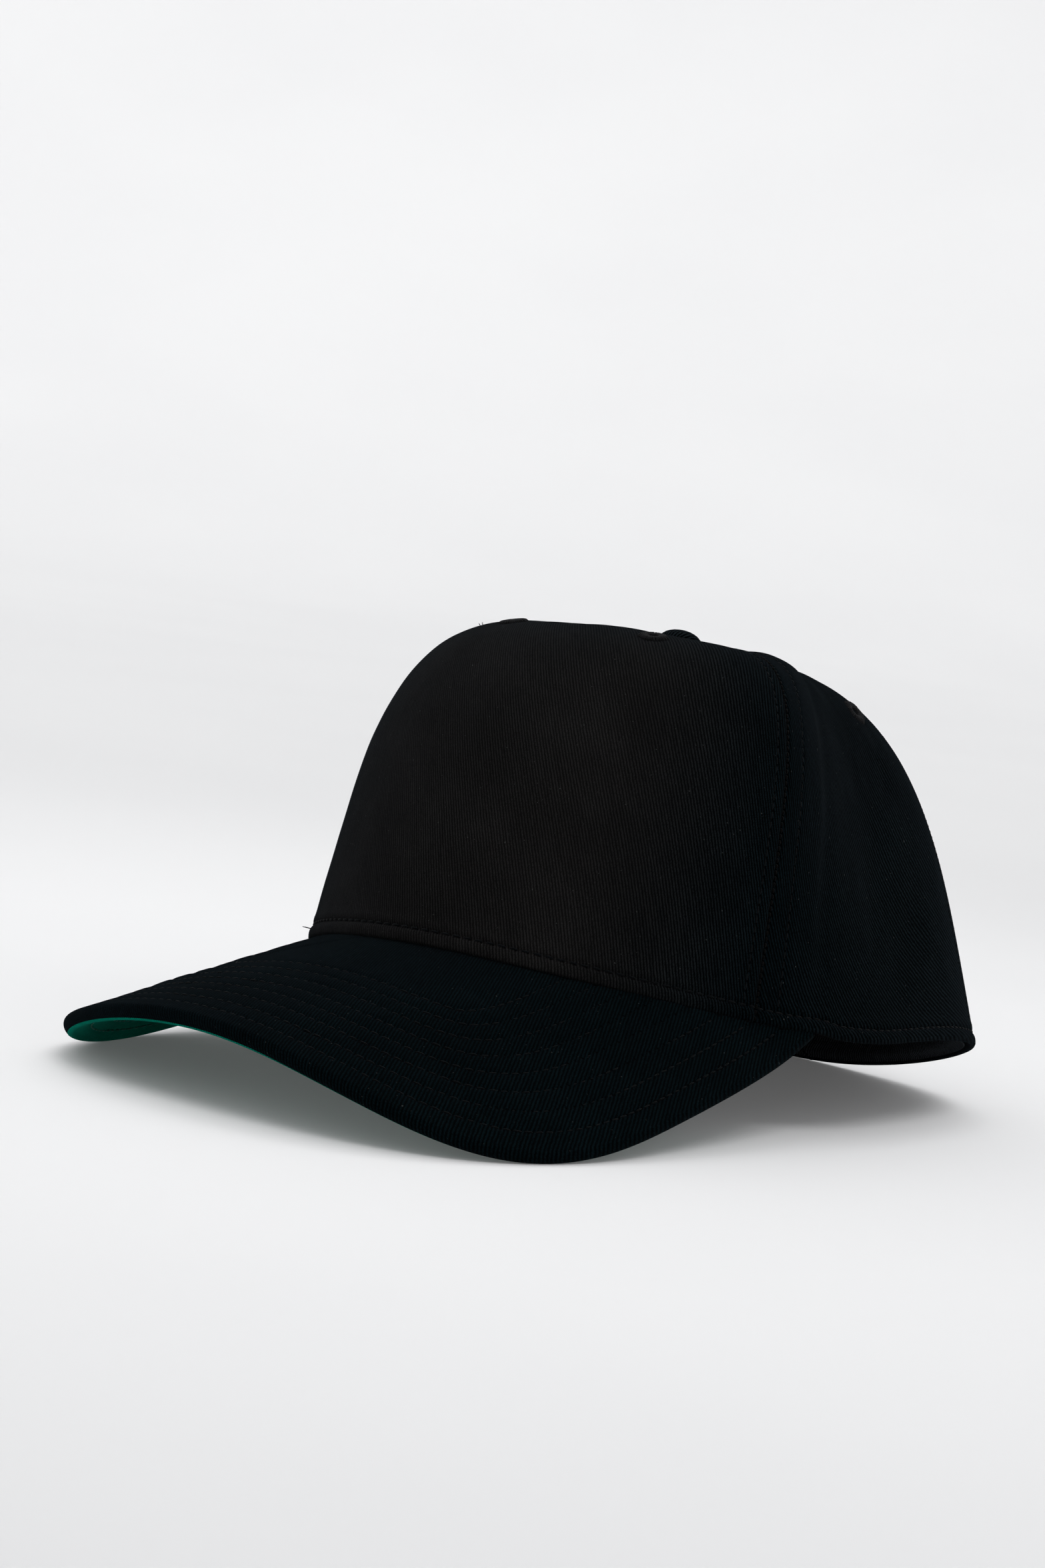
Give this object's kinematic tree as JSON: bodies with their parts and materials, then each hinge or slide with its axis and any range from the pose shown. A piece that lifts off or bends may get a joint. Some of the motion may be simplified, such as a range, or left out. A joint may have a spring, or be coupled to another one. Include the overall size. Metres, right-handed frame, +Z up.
{
  "type": "baseball cap",
  "caption": "Closed-back structured cap with a wide front panel, pre-curved visor with green underside, covered top button and embroidered eyelets.",
  "frame": {"origin": "centre of the bounding box's underside, on the surface the cap lies on", "axes": "+Z up, the visor points to -Y, the wearer's left is +X; the crown's front is raised as the cap lies on its visor's side edges and its rear hem"},
  "size_m": [0.1684, 0.267, 0.1238],
  "materials": {
    "twill": "black cotton twill",
    "under_cloth": "emerald green cotton cloth",
    "eyelet_thread": "dark embroidery thread",
    "seam_tape": "woven cotton tape",
    "sweatband": "brushed cotton twill",
    "lining_felt": "non-woven felt",
    "buckram": "stiffened mesh cloth",
    "visor_plastic": "polyethylene board",
    "button_metal": "stamped sheet"
  },
  "bodies": {
    "root": {"front_panel": "twill", "side_panel_left": "twill", "side_panel_right": "twill", "back_panel_left": "twill", "back_panel_right": "twill", "front_buckram": "buckram", "front_seam_tape_left": "seam_tape", "front_seam_tape_right": "seam_tape", "rear_seam_tape_left": "seam_tape", "rear_seam_tape_right": "seam_tape", "centre_back_tape": "seam_tape", "sweatband_lining": "lining_felt", "sweatband": "sweatband", "sweatband_tab": "seam_tape", "visor_top_fabric": "twill", "visor_board": "visor_plastic", "visor_under_fabric": "under_cloth", "button_cover": "twill", "button_shell": "button_metal", "button_washer": "button_metal", "eyelet_front_left": "eyelet_thread", "eyelet_front_right": "eyelet_thread", "eyelet_side_left": "eyelet_thread", "eyelet_side_right": "eyelet_thread", "eyelet_back_left": "eyelet_thread", "eyelet_back_right": "eyelet_thread"}
  },
  "joints": []
}
